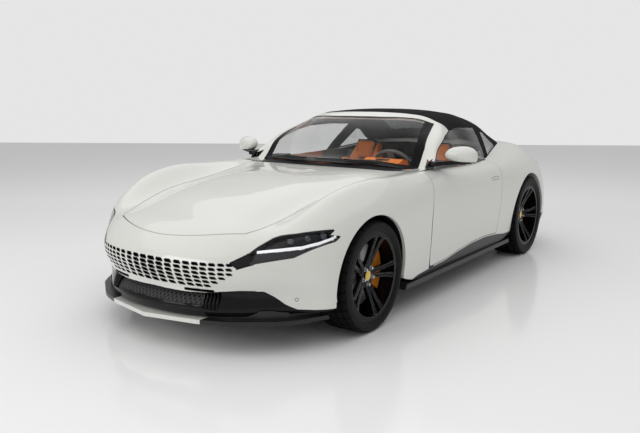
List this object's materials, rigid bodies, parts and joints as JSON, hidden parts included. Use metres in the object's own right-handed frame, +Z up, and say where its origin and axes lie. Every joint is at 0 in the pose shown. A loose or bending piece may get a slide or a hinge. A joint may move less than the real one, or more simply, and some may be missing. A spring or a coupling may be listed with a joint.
{
  "type": "roadster convertible",
  "caption": "Two-door front-engined roadster with closed fabric roof, steered and rolling wheels, opening doors, bonnet and boot lid.",
  "frame": {"origin": "on the ground under the middle of the overall box", "axes": "+X to the car's left, nose along -Y, +Z up"},
  "size_m": [2.184, 4.6597, 1.3076],
  "materials": {
    "paint": "gloss pearl",
    "black_plastic": "gloss",
    "red_lens": "clear red lens",
    "clear_glass": "clear",
    "roof_fabric": "woven",
    "dark_metal": "satin",
    "tan_leather": "fine grain",
    "black_leather": "fine grain",
    "steel": "machined",
    "lamp_lens": "clear over black",
    "tyre_rubber": "matte",
    "black_wheel": "gloss",
    "caliper_yellow": "gloss"
  },
  "bodies": {
    "car": {"front_structure": "paint", "floor_structure": "paint", "rear_structure": "paint", "front_bumper": "paint", "tonneau_panel": "paint", "rear_bumper": "paint", "rear_diffuser": "black_plastic", "tail_lamps": "red_lens", "windscreen": "clear_glass", "windscreen_frame": "paint", "soft_top": "roof_fabric", "rear_glasses": "clear_glass", "lower_intake": "black_plastic", "front_splitter": "black_plastic", "splitter_insert": "paint", "undertray": "black_plastic", "radiator": "dark_metal", "engine": "dark_metal", "dashboard": "tan_leather", "seat_left": "tan_leather", "seat_right": "tan_leather", "rear_bench": "tan_leather", "console": "tan_leather", "exhausts": "steel", "suspension": "dark_metal", "wing_left": "paint", "headlamp_left": "lamp_lens", "skirt_left": "black_plastic", "wing_right": "paint", "headlamp_right": "lamp_lens", "skirt_right": "black_plastic", "hub_carrier_rear_left": "dark_metal", "caliper_rear_left": "caliper_yellow", "hub_carrier_rear_right": "dark_metal", "caliper_rear_right": "caliper_yellow"},
    "door_body_left": {"door_left": "paint", "door_glass_left": "clear_glass", "mirror_left": "paint"},
    "knuckle_left": {"hub_carrier_front_left": "dark_metal", "caliper_front_left": "caliper_yellow"},
    "wheel_front_left": {"tyre_front_left": "tyre_rubber", "rim_front_left": "black_wheel", "brake_disc_front_left": "steel"},
    "wheel_rear_left": {"tyre_rear_left": "tyre_rubber", "rim_rear_left": "black_wheel", "brake_disc_rear_left": "steel"},
    "door_body_right": {"door_right": "paint", "door_glass_right": "clear_glass", "mirror_right": "paint"},
    "knuckle_right": {"hub_carrier_front_right": "dark_metal", "caliper_front_right": "caliper_yellow"},
    "wheel_front_right": {"tyre_front_right": "tyre_rubber", "rim_front_right": "black_wheel", "brake_disc_front_right": "steel"},
    "wheel_rear_right": {"tyre_rear_right": "tyre_rubber", "rim_rear_right": "black_wheel", "brake_disc_rear_right": "steel"},
    "bonnet_body": {"bonnet": "paint"},
    "boot_body": {"boot_lid": "paint"},
    "steering_wheel_body": {"steering_wheel": "black_leather"}
  },
  "joints": [
    {"name": "steer_left", "type": "hinge", "parent": "car", "child": "knuckle_left", "pos_m": [0.758, -1.363, 0.33975], "axis": [0, 0, 1], "range_deg": [-30, 30]},
    {"name": "wheel_spin_front_left", "type": "hinge", "parent": "knuckle_left", "child": "wheel_front_left", "pos_m": [0.826, -1.363, 0.33975], "axis": [1, 0, 0], "continuous": true},
    {"name": "wheel_spin_rear_left", "type": "hinge", "parent": "car", "child": "wheel_rear_left", "pos_m": [0.838, 1.307, 0.35375], "axis": [1, 0, 0], "continuous": true},
    {"name": "door_hinge_left", "type": "hinge", "parent": "car", "child": "door_body_left", "pos_m": [0.895, -0.637, 0.6], "axis": [0, 0, -1], "range_deg": [0, 60]},
    {"name": "steer_right", "type": "hinge", "parent": "car", "child": "knuckle_right", "pos_m": [-0.758, -1.363, 0.33975], "axis": [0, 0, 1], "range_deg": [-30, 30]},
    {"name": "wheel_spin_front_right", "type": "hinge", "parent": "knuckle_right", "child": "wheel_front_right", "pos_m": [-0.826, -1.363, 0.33975], "axis": [1, 0, 0], "continuous": true},
    {"name": "wheel_spin_rear_right", "type": "hinge", "parent": "car", "child": "wheel_rear_right", "pos_m": [-0.838, 1.307, 0.35375], "axis": [1, 0, 0], "continuous": true},
    {"name": "door_hinge_right", "type": "hinge", "parent": "car", "child": "door_body_right", "pos_m": [-0.895, -0.637, 0.6], "axis": [0, 0, 1], "range_deg": [0, 60]},
    {"name": "bonnet_hinge", "type": "hinge", "parent": "car", "child": "bonnet_body", "pos_m": [0, -0.513, 0.875], "axis": [-1, 0, 0], "range_deg": [0, 50]},
    {"name": "boot_hinge", "type": "hinge", "parent": "car", "child": "boot_body", "pos_m": [0, 1.587, 0.99], "axis": [1, 0, 0], "range_deg": [0, 70]},
    {"name": "steering_column", "type": "hinge", "parent": "car", "child": "steering_wheel_body", "pos_m": [0.375, -0.128, 0.83], "axis": [0, 0.9272, 0.3746], "range_deg": [-405, 405]}
  ],
  "couplings": [
    {"joint": "steer_right", "follows": "steer_left", "ratio": 1},
    {"joint": "steering_column", "follows": "steer_left", "ratio": -13.5}
  ]
}
